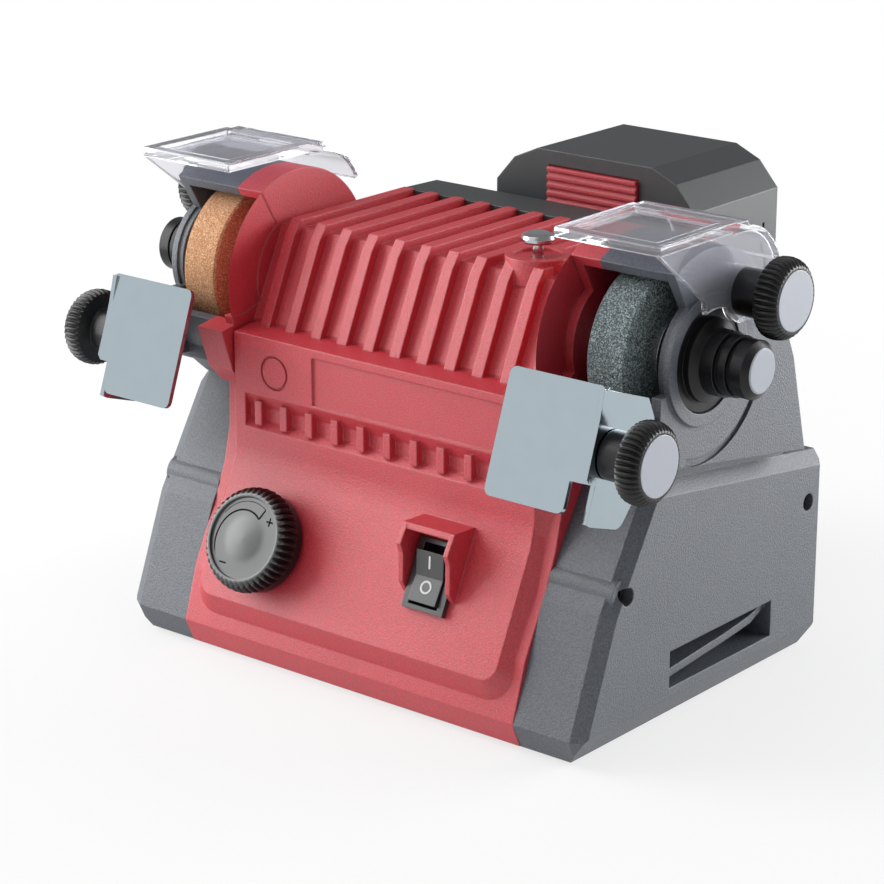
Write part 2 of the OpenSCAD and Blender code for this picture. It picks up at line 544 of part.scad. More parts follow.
// Coil of round wire between the floor of the bush and the collar of the pin
module lock_spring() up() color([0.6, 0.6, 0.62]) translate([lock_x, ay, lock_hole + spring_wire])
  coil(spring_r, spring_wire, spring_n, collar_z - lock_hole - 2*spring_wire);
module coil(r, w, n, h) let (m = 8*n, k = 6) polyhedron(
  points = [for (i = [0 : m], j = [0 : k - 1]) let (a = 45*i, b = 60*j)
    [(r + w*cos(b))*cos(a), (r + w*cos(b))*sin(a), h*i/m + w*sin(b)]],
  faces = concat([[for (j = [0 : k - 1]) j]], [[for (j = [k - 1 : -1 : 0]) m*k + j]],
    [for (i = [0 : m - 1], j = [0 : k - 1], s = [0, 1]) let (a = i*k + j, b = i*k + (j + 1) % k)
      s == 0 ? [a, a + k, b] : [b, a + k, b + k]]));

module yext(y0, y1) translate([0, y1, 0]) rotate([90, 0, 0]) linear_extrude(y1 - y0) children();
module battery_case() up() color([0.16, 0.17, 0.18]) difference() {
  yext(bat_y, bat_y + bat_d) polygon([[-bat_w/2, bat_lo], [bat_w/2, bat_lo], [bat_w/2, bat_top - 12],
    [bat_w/2 - 7, bat_top - 4], [bat_w/2 - 16, bat_top], [-bat_w/2 + 16, bat_top], [-bat_w/2 + 7, bat_top - 4],
    [-bat_w/2, bat_top - 12]]);
  box(-dock_n - fit, dock_n + fit, bat_y - 1, rear_y + 7, bat_lo - 1, dock_hi + fit);
  box(-dock_w - fit, dock_w + fit, rear_y + 4 - fit, rear_y + 7 + fit, bat_lo - 1, dock_hi + fit);
  box(-dock_n, dock_n, rear_y + 3.4, rear_y + 8.6, dock_hi, dock_hi + 11);
  box(-bat_w/2 + 2.6, bat_w/2 - 2.6, bat_y + 9, bat_y + bat_d - 2.6, bat_lo + 2.6, bat_top - 14.6);
  box(-btn_w/2 - fit, btn_w/2 + fit, bat_y - 1, bat_y + 7, btn_z - fit, btn_z + btn_h + fit);
  box(-bat_w, bat_w, bat_y + bat_d - 8, bat_y + bat_d - 6.8, bat_lo + 12, bat_top - 22);
}
module battery_cells() up() color([0.1, 0.45, 0.3]) for (c = [[0, 0], [0, 1], [0, 2], [1, 0.5], [1, 1.5]])
  xcyl(-cell_l/2, cell_l/2, 9, bat_y + 18 + c[0]*16.4, bat_lo + 11.6 + c[1]*18.4);
module battery_board() up() color([0.05, 0.3, 0.15]) box(-cell_l/2 + 2.5, cell_l/2 - 2.5, bat_y + 9, bat_y + 10.6, bat_lo + 68,
  bat_lo + 84);
module battery_terminals() up() color([0.07, 0.07, 0.07]) difference() {
  box(-dock_n, dock_n, rear_y + 3.4, rear_y + 8.6, dock_hi + 4, dock_hi + 11);
  for (x = [-9, 0, 9]) box(x - 0.5 - fit, x + 0.5 + fit, rear_y + 4 - fit, rear_y + 7 + fit, dock_hi, dock_hi + 10);
}
module dock_terminals() up() color([0.8, 0.65, 0.3]) for (x = [-9, 0, 9])
  box(x - 0.5, x + 0.5, rear_y + 4, rear_y + 7, dock_hi, dock_hi + 9);
module battery_button() up() color([0.66, 0.1, 0.12]) difference() {
  box(-btn_w/2, btn_w/2, bat_y - 1.6, bat_y + 3, btn_z, btn_z + btn_h);
  for (i = [0 : 4]) box(-btn_w/2 - 1, btn_w/2 + 1, bat_y - 2, bat_y - 1, btn_z + 2 + i*2.6, btn_z + 3.2 + i*2.6);
}
module controller_board() up() color([0.05, 0.3, 0.15]) {
  box(-46, 46, -28, 26, board_z, board_z + 1.6);
  box(-20, 10, -8, 10, board_z + 1.6, board_z + 14);
  for (x = [24, 34]) translate([x, 4, board_z + 1.6]) cylinder(h = 16, r = 4);
}

// Which node to draw
main_housing();
rear_housing();
end_housing_right();
end_housing_left();
base_plate();
rubber_feet();
housing_screws();
motor_can();
motor_magnets();
spindle_bearings();
spindle();
rotor_stack();
wheel_right();
wheel_left();
inner_flanges();
outer_flanges();
wheel_nuts();
spindle_cap_right();
spindle_cap_left();
work_rest_right();
work_rest_left();
rest_bolts();
shield_bolts();
rest_knob_right();
rest_knob_left();
rest_knob_disc_right();
rest_knob_disc_left();
shield_knob_right();
shield_knob_left();
shield_knob_disc_right();
shield_knob_disc_left();
eye_shield_right();
eye_shield_left();
speed_dial();
dial_shaft();
speed_pot();
switch_body();
rocker();
lock_bush();
lock_pin();
lock_spring();
battery_case();
battery_cells();
battery_board();
battery_terminals();
dock_terminals();
battery_button();
controller_board();
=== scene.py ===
"""Looks of a cordless twin-wheel bench grinder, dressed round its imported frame.

All lengths are metres in the frame's axes: X to the right, Y to the back, Z up.
"""

import json
import math

import bmesh
import bpy
from mathutils import Matrix, Vector
from mathutils.bvhtree import BVHTree

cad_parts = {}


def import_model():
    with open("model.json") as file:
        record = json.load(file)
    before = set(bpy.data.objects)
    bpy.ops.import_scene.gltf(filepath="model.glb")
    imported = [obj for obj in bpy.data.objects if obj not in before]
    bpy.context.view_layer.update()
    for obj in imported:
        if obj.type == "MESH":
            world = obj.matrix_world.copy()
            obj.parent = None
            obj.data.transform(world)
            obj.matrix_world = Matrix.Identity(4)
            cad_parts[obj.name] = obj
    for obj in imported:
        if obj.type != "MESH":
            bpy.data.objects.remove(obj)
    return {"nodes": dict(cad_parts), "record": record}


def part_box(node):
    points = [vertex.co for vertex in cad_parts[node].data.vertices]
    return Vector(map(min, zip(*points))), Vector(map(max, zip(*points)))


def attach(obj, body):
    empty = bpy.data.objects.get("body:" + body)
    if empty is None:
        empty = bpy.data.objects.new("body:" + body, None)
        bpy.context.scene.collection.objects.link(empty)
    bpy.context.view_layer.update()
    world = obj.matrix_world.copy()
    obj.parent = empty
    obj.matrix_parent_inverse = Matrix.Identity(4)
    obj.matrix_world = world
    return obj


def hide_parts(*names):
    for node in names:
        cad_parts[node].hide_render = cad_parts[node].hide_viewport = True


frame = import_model()
nodes = frame["nodes"]
joints = {joint["name"]: joint for joint in frame["record"]["behaviour"]["joints"]}
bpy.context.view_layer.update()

MM = 0.001


# Material tools

RANGE_SOCKETS = ("From Min", "From Max", "To Min", "To Max")


class Shader:
    """One material's node tree, with short calls for the nodes used here."""

    def __init__(self, name):
        self.material = bpy.data.materials.new(name)
        self.material.use_nodes = True
        self.tree = self.material.node_tree
        self.tree.nodes.clear()
        self.output = self.add("ShaderNodeOutputMaterial")
        self.bsdf = self.add("ShaderNodeBsdfPrincipled")
        self.link(self.bsdf.outputs[0], self.output.inputs["Surface"])
        self.place = self.add("ShaderNodeTexCoord").outputs["Object"]

    def add(self, kind, **settings):
        node = self.tree.nodes.new(kind)
        for key, value in settings.items():
            setattr(node, key, value)
        return node

    def link(self, source, target):
        self.tree.links.new(source, target)

    def feed(self, socket, value):
        """Links a socket to value, or sets it where value is a number or a colour."""
        if isinstance(value, (int, float)):
            socket.default_value = value
        elif isinstance(value, tuple):
            socket.default_value = (*value, 1.0)
        else:
            self.link(value, socket)

    def set(self, **values):
        """Sets the shader's own sockets, with _ for a space in a socket's name."""
        for key, value in values.items():
            self.bsdf.inputs[key.replace("_", " ")].default_value = value

    def stretched(self, scale):
        """The piece's own place, scaled along each axis."""
        node = self.add("ShaderNodeMapping")
        node.inputs["Scale"].default_value = scale
        self.link(self.place, node.inputs["Vector"])
        return node.outputs[0]

    def noise(self, size, detail=2.0, rough=0.5, place=None):
        """Noise whose features are about size metres across."""
        node = self.add("ShaderNodeTexNoise")
        self.link(place or self.place, node.inputs["Vector"])
        node.inputs["Scale"].default_value = 1 / size
        node.inputs["Detail"].default_value = detail
        node.inputs["Roughness"].default_value = rough
        return node.outputs["Fac"]

    def grains(self, size):
        """Three random numbers for each grain of about size metres."""
        node = self.add("ShaderNodeTexVoronoi")
        self.link(self.place, node.inputs["Vector"])
        node.inputs["Scale"].default_value = 1 / size
        parts = self.add("ShaderNodeSeparateColor")
        self.link(node.outputs["Color"], parts.inputs[0])
        return parts.outputs

    def remap(self, value, low, high, out_low=0.0, out_high=1.0):
        node = self.add("ShaderNodeMapRange")
        self.link(value, node.inputs["Value"])
        for socket, number in zip(RANGE_SOCKETS, (low, high, out_low, out_high)):
            node.inputs[socket].default_value = number
        return node.outputs[0]

    def math(self, operation, *values):
        node = self.add("ShaderNodeMath", operation=operation)
        for socket, value in zip(node.inputs, values):
            self.feed(socket, value)
        return node.outputs[0]

    def blend(self, factor, a, b):
        """Colour between a and b; each is a socket or an RGB tuple."""
        node = self.add("ShaderNodeMix", data_type="RGBA")
        self.link(factor, node.inputs["Factor"])
        for socket, value in zip([s for s in node.inputs if s.type == "RGBA"], (a, b)):
            self.feed(socket, value)
        return next(s for s in node.outputs if s.type == "RGBA")

    def axis(self, name):
        """X, Y or Z of the piece's own place."""
        node = self.add("ShaderNodeSeparateXYZ")
        self.link(self.place, node.inputs[0])
        return node.outputs[name]

    def rounded(self, radius):
        """Normal that rounds sharp edges over radius, and a mask of those edges."""
        bevel = self.add("ShaderNodeBevel", samples=6)
        bevel.inputs["Radius"].default_value = radius
        flat = self.add("ShaderNodeNewGeometry").outputs["Normal"]
        turn = self.add("ShaderNodeVectorMath", operation="DOT_PRODUCT")
        self.link(bevel.outputs[0], turn.inputs[0])
        self.link(flat, turn.inputs[1])
        return bevel.outputs[0], self.remap(turn.outputs["Value"], 0.98, 0.72)

    def bump(self, height, depth, normal, strength=1.0):
        node = self.add("ShaderNodeBump")
        self.link(height, node.inputs["Height"])
        node.inputs["Distance"].default_value = depth
        node.inputs["Strength"].default_value = strength
        self.link(normal, node.inputs["Normal"])
        self.link(node.outputs[0], self.bsdf.inputs["Normal"])


def tint(colour, factor):
    return tuple(min(1.0, c * factor) for c in colour)


def moulded(
    name, colour, rough, grain, depth, mottle=0.10, edge=0.25, radius=0.5 * MM, specular=0.5, end=None
):
    """Moulded plastic: fine grain, slight mottling, rounded edges that are a little paler from wear and a
    painted highlight.

    end is (x, colour) for a piece whose outer end, beyond that x on either side, is painted that colour.
    """
    s = Shader(name)
    fine = s.noise(grain, detail=3.0, rough=0.65)
    broad = s.noise(14 * MM, detail=3.0)
    normal, edges = s.rounded(radius)
    both = s.math("ADD", s.math("MULTIPLY", fine, 0.92), s.math("MULTIPLY", broad, 0.08))
    body = s.blend(s.remap(both, 0.38, 0.62), tint(colour, 1 - mottle), tint(colour, 1 + mottle))
    # Edges are paler in patches: partly wear, partly a painted highlight along them.
    pale = tuple(c + edge * (0.8 - c) for c in colour)
    wear_and_highlight = s.math("MULTIPLY", edges, s.remap(broad, 0.35, 0.65, 0.25, 0.8))
    skin = s.blend(wear_and_highlight, body, pale)
    if end:
        skin = s.blend(s.math("GREATER_THAN", s.math("ABSOLUTE", s.axis("X")), end[0]), skin, end[1])
    s.link(skin, s.bsdf.inputs["Base Color"])
    s.link(s.remap(fine, 0.3, 0.7, rough - 0.06, rough + 0.06), s.bsdf.inputs["Roughness"])
    s.set(Specular_IOR_Level=specular)
    s.bump(fine, depth, normal)
    return s.material


def metal(name, colour, rough, streak=None, cloudy=0.05, radius=0.25 * MM, depth=0.01 * MM):
    """Bare metal: faint cloudiness, edges painted brighter as a highlight, and fine lines along axis streak
    if given.
    """
    s = Shader(name)
    cloud = s.noise(6 * MM, detail=4.0)
    if streak is None:
        lines = s.noise(0.25 * MM)
    else:
        lines = s.noise(0.3 * MM, place=s.stretched([0.03 if i == streak else 1.0 for i in range(3)]))
    normal, edges = s.rounded(radius)
    body = s.blend(s.remap(cloud, 0.3, 0.7), tint(colour, 1 - cloudy), tint(colour, 1 + cloudy))
    # Edges painted brighter: a painted highlight.
    s.link(s.blend(edges, body, tint(colour, 1.2)), s.bsdf.inputs["Base Color"])
    s.link(s.remap(lines, 0.3, 0.7, rough * 0.85, rough * 1.2), s.bsdf.inputs["Roughness"])
    s.set(Metallic=1.0)
    s.bump(lines, depth, normal, 0.5)
    return s.material


def abrasive(name, dark, middle, light, grit):
    """Bonded abrasive: packed grains of three shades with open pores between them."""
    s = Shader(name)
    shade = s.grains(grit)
    low = s.blend(s.remap(shade[0], 0.12, 0.5), dark, middle)
    top = s.blend(s.remap(shade[1], 0.60, 0.85), low, light)
    wide = s.noise(9 * MM, detail=3.0)
    s.link(s.blend(s.remap(wide, 0.35, 0.7, 0.0, 0.4), top, middle), s.bsdf.inputs["Base Color"])
    s.set(Roughness=0.85, Specular_IOR_Level=0.35)
    pores = s.noise(grit * 1.6, detail=4.0, rough=0.7)
    normal, _ = s.rounded(0.5 * MM)
    s.bump(s.math("ADD", s.math("MULTIPLY", shade[2], 0.5), pores), 0.12 * MM, normal)
    return s.material


def clear_sheet(name, wall, pane, clearness):
    """Clear moulded sheet with a greyer pane on top and white edges, a painted highlight; it casts only a
    faint shadow.
    """
    s = Shader(name)
    ripple = s.noise(9 * MM, detail=1.0)
    normal, edges = s.rounded(0.7 * MM)
    lying = s.add("ShaderNodeSeparateXYZ")
    s.link(s.add("ShaderNodeNewGeometry").outputs["True Normal"], lying.inputs[0])
    level = s.remap(s.math("ABSOLUTE", lying.outputs["Z"]), 0.6, 0.9)
    # Edges painted white: a painted highlight.
    s.link(s.blend(edges, s.blend(level, wall, pane), (1.0, 1.0, 1.0)), s.bsdf.inputs["Base Color"])
    s.link(s.remap(edges, 0.0, 1.0, 0.04, 0.25), s.bsdf.inputs["Roughness"])
    s.set(Transmission_Weight=clearness, IOR=1.45, Specular_IOR_Level=0.6)
    s.bump(ripple, 0.05 * MM, normal, 0.3)
    shadow = s.add("ShaderNodeBsdfTransparent")
    shadow.inputs[0].default_value = (0.80, 0.80, 0.85, 1.0)
    mix = s.add("ShaderNodeMixShader")
    s.link(s.add("ShaderNodeLightPath").outputs["Is Shadow Ray"], mix.inputs[0])
    s.link(s.bsdf.outputs[0], mix.inputs[1])
    s.link(shadow.outputs[0], mix.inputs[2])
    s.link(mix.outputs[0], s.output.inputs["Surface"])
    return s.material


# Materials, colours in linear RGB

RED = (0.53, 0.024, 0.040)
END_GREY = (0.066, 0.076, 0.094)
DARK_GREY = (0.030, 0.033, 0.035)
BLACK = (0.006, 0.006, 0.007)
DIAL_BLACK = (0.018, 0.020, 0.021)
# Pale grey painted on the knob discs and the caps' outer ends: a painted reflection of the right-back lamp
# in black plastic.
PAINTED_REFLECTION_GREY = (0.36, 0.38, 0.43)
ZINC = (0.40, 0.47, 0.51)
STEEL = (0.60, 0.61, 0.63)
# Near-black colour of the dial's raised marks: painted shade of their grooves.
GROOVE_SHADE = (0.006, 0.006, 0.006)
WHITE_INK = (0.78, 0.80, 0.82)

CAP_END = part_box("spindle_cap_right")[1][0] - 0.3 * MM

materials = {
    "red": moulded("red_plastic", RED, 0.48, 0.55 * MM, 0.15 * MM, mottle=0.20, edge=0.10,
                   radius=0.7 * MM, specular=1.0),
    "end": moulded("end_plastic", END_GREY, 0.50, 0.55 * MM, 0.20 * MM, mottle=0.40, edge=0.12,
                   radius=0.6 * MM, specular=0.95),
    "dark": moulded("dark_plastic", DARK_GREY, 0.48, 0.45 * MM, 0.05 * MM, specular=0.8),
    # The caps' outer ends are painted pale grey, a painted reflection in the black plastic.
    "black": moulded("black_plastic", BLACK, 0.36, 0.35 * MM, 0.02 * MM, edge=0.10,
                     radius=0.4 * MM, specular=0.3, end=(CAP_END, PAINTED_REFLECTION_GREY)),
    "dial": moulded("dial_plastic", DIAL_BLACK, 0.34, 0.30 * MM, 0.015 * MM, edge=0.12,
                    radius=0.3 * MM, specular=1.0),
    "knob": moulded("knob_plastic", BLACK, 0.32, 0.30 * MM, 0.015 * MM, edge=0.15,
                    radius=0.3 * MM, specular=0.4),
    # Knob discs painted pale grey, a painted reflection in black plastic.
    "disc": moulded("disc_plastic_painted_reflection", PAINTED_REFLECTION_GREY, 0.36, 0.20 * MM, 0.008 * MM, mottle=0.04, edge=0.3),
    "rubber": moulded("foot_rubber", (0.02, 0.02, 0.02), 0.8, 0.5 * MM, 0.04 * MM, edge=0.05),
    "board": moulded("board_mask", (0.02, 0.12, 0.06), 0.35, 2.0 * MM, 0.02 * MM),
    "cell": moulded("cell_sleeve", (0.05, 0.22, 0.16), 0.3, 3.0 * MM, 0.01 * MM),
    "steel": metal("turned_steel", STEEL, 0.28, streak=1),
    "screw": metal("blackened_steel", (0.10, 0.10, 0.11), 0.42),
    "motor": metal("plated_steel", (0.52, 0.53, 0.55), 0.32),
    "magnet": moulded("sintered_magnet", (0.06, 0.06, 0.065), 0.6, 0.4 * MM, 0.04 * MM),
    "rotor": metal("rotor_iron", (0.30, 0.22, 0.16), 0.45, streak=1),
    "zinc": metal("zinc_sheet", ZINC, 0.12, streak=2, cloudy=0.015),
    "chrome": metal("chrome", (0.50, 0.51, 0.53), 0.16),
    "brass": metal("plated_brass", (0.72, 0.54, 0.24), 0.25),
    "grey_wheel": abrasive("grey_abrasive", (0.016, 0.022, 0.024), (0.135, 0.170, 0.175),
                           (0.48, 0.56, 0.56), 0.30 * MM),
    "brown_wheel": abrasive("brown_abrasive", (0.34, 0.135, 0.055), (0.57, 0.285, 0.135),
                            (0.84, 0.55, 0.33), 0.28 * MM),
    "clear": clear_sheet("clear_plastic", (0.90, 0.90, 0.94), (0.52, 0.53, 0.58), 0.93),
    # The dial's marks are real relief; their near-black, sheen-less material is painted groove shade.
    "groove_shade": moulded("dial_mark_groove_shade", GROOVE_SHADE, 0.8, 0.3 * MM, 0.01 * MM, edge=0.0, specular=0.1),
    "white": moulded("mark_white", WHITE_INK, 0.5, 0.3 * MM, 0.01 * MM, mottle=0.03),
}

NODE_MATERIALS = {
    "red": ["main_housing", "lock_bush", "battery_button"],
    "end": ["end_housing_right", "end_housing_left"],
    "dark": ["rear_housing", "base_plate", "battery_case"],
    "black": ["spindle_cap_right", "spindle_cap_left", "battery_terminals"],
    "dial": ["speed_dial", "switch_body", "rocker"],
    "knob": ["rest_knob_right", "rest_knob_left", "shield_knob_right", "shield_knob_left"],
    "disc": ["rest_knob_disc_right", "rest_knob_disc_left", "shield_knob_disc_right",
             "shield_knob_disc_left"],
    "rubber": ["rubber_feet"],
    "board": ["speed_pot", "battery_board", "controller_board"],
    "cell": ["battery_cells"],
    "steel": ["spindle_bearings", "spindle", "inner_flanges", "outer_flanges", "wheel_nuts", "rest_bolts",
              "shield_bolts", "dial_shaft", "lock_spring"],
    "screw": ["housing_screws"],
    "motor": ["motor_can"],
    "magnet": ["motor_magnets"],
    "rotor": ["rotor_stack"],
    "zinc": ["work_rest_right", "work_rest_left"],
    "chrome": ["lock_pin"],
    "brass": ["dock_terminals"],
    "grey_wheel": ["wheel_right"],
    "brown_wheel": ["wheel_left"],
    "clear": ["eye_shield_right", "eye_shield_left"],
}

for key, names in NODE_MATERIALS.items():
    for name in names:
        slots = nodes[name].data.materials
        slots.clear()
        slots.append(materials[key])


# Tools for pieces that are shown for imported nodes

MERGE = 0.0005 * MM


def solid(vertices, faces):
    """Closed mesh object with outward normals."""
    mesh = bpy.data.meshes.new("solid")
    mesh.from_pydata(vertices, [], faces)
    shape = bmesh.new()
    shape.from_mesh(mesh)
    bmesh.ops.remove_doubles(shape, verts=shape.verts, dist=MERGE)
    bmesh.ops.recalc_face_normals(shape, faces=shape.faces)
    shape.to_mesh(mesh)
    shape.free()
    piece = bpy.data.objects.new("solid", mesh)
    bpy.context.scene.collection.objects.link(piece)
    return piece


def loft(low, high):
    """Solid between two outlines with the same number of points."""
    n = len(low)
    sides = [(i, (i + 1) % n, n + (i + 1) % n, n + i) for i in range(n)]
    return solid(low + high, sides + [tuple(range(n)), tuple(range(n, 2 * n))])


def across(profile, start, end, place=lambda y, z, x: Vector((x, y, z))):
    """Solid with that profile from x = start to x = end, all in mm."""
    return loft(*([place(a * MM, b * MM, x * MM) for a, b in profile] for x in (start, end)))


def keep(piece):
    """Applies the modifiers of a piece to its mesh."""
    bpy.context.view_layer.update()
    graph = bpy.context.evaluated_depsgraph_get()
    mesh = bpy.data.meshes.new_from_object(piece.evaluated_get(graph))
    piece.modifiers.clear()
    piece.data = mesh


def combine(target, other, operation):
    """Joins another solid to the target or cuts it out, and drops it."""
    step = target.modifiers.new("step", "BOOLEAN")
    step.object, step.operation, step.solver = other, operation, "EXACT"
    keep(target)
    bpy.data.objects.remove(other)


def smooth(piece, angle):
    """Smooth shading that keeps flat faces flat and edges beyond that angle sharp."""
    piece.data.shade_smooth()
    piece.data.set_sharp_from_angle(angle=math.radians(angle))
    weight = piece.modifiers.new("weight", "WEIGHTED_NORMAL")
    weight.keep_sharp = True
    keep(piece)


def dress(piece, name, node, body):
    """Names a piece, puts it on its body and shows it for the node."""
    piece.name = piece.data.name = name
    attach(piece, body)
    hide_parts(node)


# Front of the housing: sizes in mm

RIGHT = Vector((1.0, 0.0, 0.0))
PANEL_OUT = Vector(joints["dial_turn"]["axis"]).normalized()
PANEL_UP = PANEL_OUT.cross(RIGHT)
TILT = math.atan2(PANEL_OUT.z, -PANEL_OUT.y)
DIAL_BASE = Vector(joints["dial_turn"]["pos_m"])
PANEL = Vector((0.0, DIAL_BASE.y, DIAL_BASE.z))
switch = Vector(joints["rocker_tilt"]["pos_m"])
SWITCH_X = switch.x / MM
SWITCH_V = (switch - PANEL).dot(PANEL_UP) / MM

ARC_STEPS = 8

# Sloped panel: half width, lower edge below the dial, depth of the sloped sides, corner radius
PANEL_W, PANEL_LOW, PANEL_D, PANEL_R = 57.0, 19.5, 6.0, 5.0

# Upright face: how far behind the panel at the dial's height, its Y, its top
UPRIGHT_BACK = 10.1
UPRIGHT_Y = PANEL.y / MM + UPRIGHT_BACK
UPRIGHT_TOP = 80.6

# Bend between the two: radius, height of the corner that it rounds, length on each side, overlap
BEND_R = 20.0
BEND_Z = PANEL.z / MM + UPRIGHT_BACK / math.tan(TILT)
BEND_L = BEND_R * math.tan(TILT / 2)
BEND_LAP = 4.0

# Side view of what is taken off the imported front, and its half width
OLD_FRONT = [
    (-78.6, 18.0), (-75.75, 18.0), (-73.2, 26.4), (-64.3, 43.6),
    (-59.7, 55.3), (-57.1, 66.2), (-56.9, 80.5), (-78.6, 80.5),
]
OLD_FRONT_W = 70.0

# Valley across the upright face, with its lower and upper slope, and the ribs in it
VALLEY_W, VALLEY_D, VALLEY_Z = 53.0, 2.6, (68.9, 79.7)
VALLEY_SLOPES = (2.2, 4.4)
RIBS, RIB_X, RIB_PITCH, RIB_W, RIB_Z = 9, -47.8, 10.1, 2.6, (70.2, 77.7)

# Switch hood as (up the panel, out of it) from the switch, switch opening and dial hole
BEZEL_W, BEZEL_H, BEZEL_RIM = 15.0, 21.0, 1.0
HOOD_T = 1.6
HOOD_W = BEZEL_W + 2 * HOOD_T + 0.7
HOOD_SIDE = [(18.2, -3.0), (13.1, 8.9), (6.4, 9.5), (4.2, 7.2), (-3.8, 3.6), (-8.0, -3.0)]
HOOD_ROOF = [(18.2, -3.0), (13.1, 8.9), (11.2, 8.9), (16.3, -3.0)]
ROOF_INSET = 0.01
SHAFT_R, SHAFT_STEPS = 4.2, 32
HOLE_FROM, HOLE_TO = -20.0, 1.0
LAP = 1.0
HOUSING_SHARP = 20


def on_panel(v, w, x):
    """Place x to the right, v up the control panel and w out of it, from the dial's height."""
    return PANEL + x * RIGHT + v * PANEL_UP + w * PANEL_OUT


def panel_outline(grow):
    """Outline of the sloped panel, grown on the sides and below, at that depth under its face."""
    r = PANEL_R + grow
    inner = PANEL_W - PANEL_R
    top = (BEND_Z * MM - PANEL.z) / math.cos(TILT) / MM
    points = [(-PANEL_W - grow, top)]
    for side, start in ((-1, 180), (1, 270)):
        for i in range(ARC_STEPS + 1):
            angle = math.radians(start + 90 * i / ARC_STEPS)
            x, v = r * math.cos(angle), r * math.sin(angle)
            points.append((side * inner + x, PANEL_R - PANEL_LOW + v))
    points.append((PANEL_W + grow, top))
    return [on_panel(v * MM, -grow * MM, x * MM) for x, v in points]


def add_panel(piece):
    """Sloped panel, upright face above it and the soft bend between them."""
    combine(piece, loft(panel_outline(PANEL_D), panel_outline(0.0)), "UNION")
    wide, rear = PANEL_W + PANEL_D, UPRIGHT_Y + PANEL_D
    plan = [(-PANEL_W, UPRIGHT_Y), (PANEL_W, UPRIGHT_Y), (wide, rear), (-wide, rear)]
    heights = (BEND_Z - BEND_LAP, UPRIGHT_TOP)
    combine(piece, loft(*([Vector((x, y, z)) * MM for x, y in plan] for z in heights)), "UNION")
    bend = []
    for i in range(ARC_STEPS + 1):
        angle = TILT * i / ARC_STEPS
        y = UPRIGHT_Y - BEND_R + BEND_R * math.cos(angle)
        bend.append((y, BEND_Z + BEND_L - BEND_R * math.sin(angle)))
    bend += [(rear - LAP, bend[-1][1]), (rear - LAP, bend[0][1])]
    combine(piece, across(bend, -PANEL_W, PANEL_W), "UNION")


def add_ribs(piece):
    """Valley across the upright face, with upright ribs in it."""
    face, deep = UPRIGHT_Y, UPRIGHT_Y + VALLEY_D
    low, high = VALLEY_Z
    lower, upper = VALLEY_SLOPES
    valley = [
        (face - LAP, low), (face, low), (deep, low + lower),
        (deep, high - upper), (face, high), (face - LAP, high),
    ]
    combine(piece, across(valley, -VALLEY_W, VALLEY_W), "DIFFERENCE")
    low, high = RIB_Z
    rib = [(deep + LAP, low), (face, low), (face, high), (deep + LAP, high)]
    for i in range(RIBS):
        middle = RIB_X + i * RIB_PITCH
        combine(piece, across(rib, middle - RIB_W / 2, middle + RIB_W / 2), "UNION")


def add_hood(piece):
    """Two cheeks and a sloped roof round the switch."""
    cheek, roof = ([(v + SWITCH_V, w) for v, w in shape] for shape in (HOOD_SIDE, HOOD_ROOF))
    left, right = SWITCH_X - HOOD_W / 2, SWITCH_X + HOOD_W / 2
    combine(piece, across(cheek, left, left + HOOD_T, on_panel), "UNION")
    combine(piece, across(cheek, right - HOOD_T, right, on_panel), "UNION")
    combine(piece, across(roof, left + ROOF_INSET, right - ROOF_INSET, on_panel), "UNION")


def cut_openings(piece):
    """Opening for the switch body and hole for the dial's shaft."""
    reach, half = BEZEL_H / 2 - BEZEL_RIM, BEZEL_W / 2 - BEZEL_RIM
    low, high = SWITCH_V - reach, SWITCH_V + reach
    hole = [(low, HOLE_FROM), (high, HOLE_FROM), (high, HOLE_TO), (low, HOLE_TO)]
    combine(piece, across(hole, SWITCH_X - half, SWITCH_X + half, on_panel), "DIFFERENCE")
    ends = []
    for w in (HOLE_FROM, HOLE_TO):
        turns = [2 * math.pi * i / SHAFT_STEPS for i in range(SHAFT_STEPS)]
        ring = [(SHAFT_R * MM * math.sin(a), SHAFT_R * MM * math.cos(a)) for a in turns]
        ends.append([on_panel(v, w * MM, x + DIAL_BASE.x) for v, x in ring])
    combine(piece, loft(*ends), "DIFFERENCE")


def front():
    """The housing with its front remade."""
    packed = nodes["main_housing"].data
    faces = [tuple(face.vertices) for face in packed.polygons]
    piece = solid([vertex.co.copy() for vertex in packed.vertices], faces)
    combine(piece, across(OLD_FRONT, -OLD_FRONT_W, OLD_FRONT_W), "DIFFERENCE")
    add_panel(piece)
    add_ribs(piece)
    add_hood(piece)
    cut_openings(piece)
    smooth(piece, HOUSING_SHARP)
    piece.data.materials.clear()
    piece.data.materials.append(materials["red"])
    dress(piece, "housing_shell", "main_housing", "housing")


front()


# Work rests with a round fold and round corners

SHEET_EDGE = 2.5 * MM
CORNER, CORNER_STEPS = 2.2 * MM, 5
FOLD, FOLD_STEPS, FOLD_LENGTH = 1.4 * MM, 8, 15 * MM
FOLD_NEAR = 0.2 * MM
CLEAR_OF_FOLD, CLEAR_OF_PLATE = 3 * MM, 4 * MM
ALONG = 0.9
SHARP = 1.0
FLAT = math.radians(1)
REST_SHARP = 25


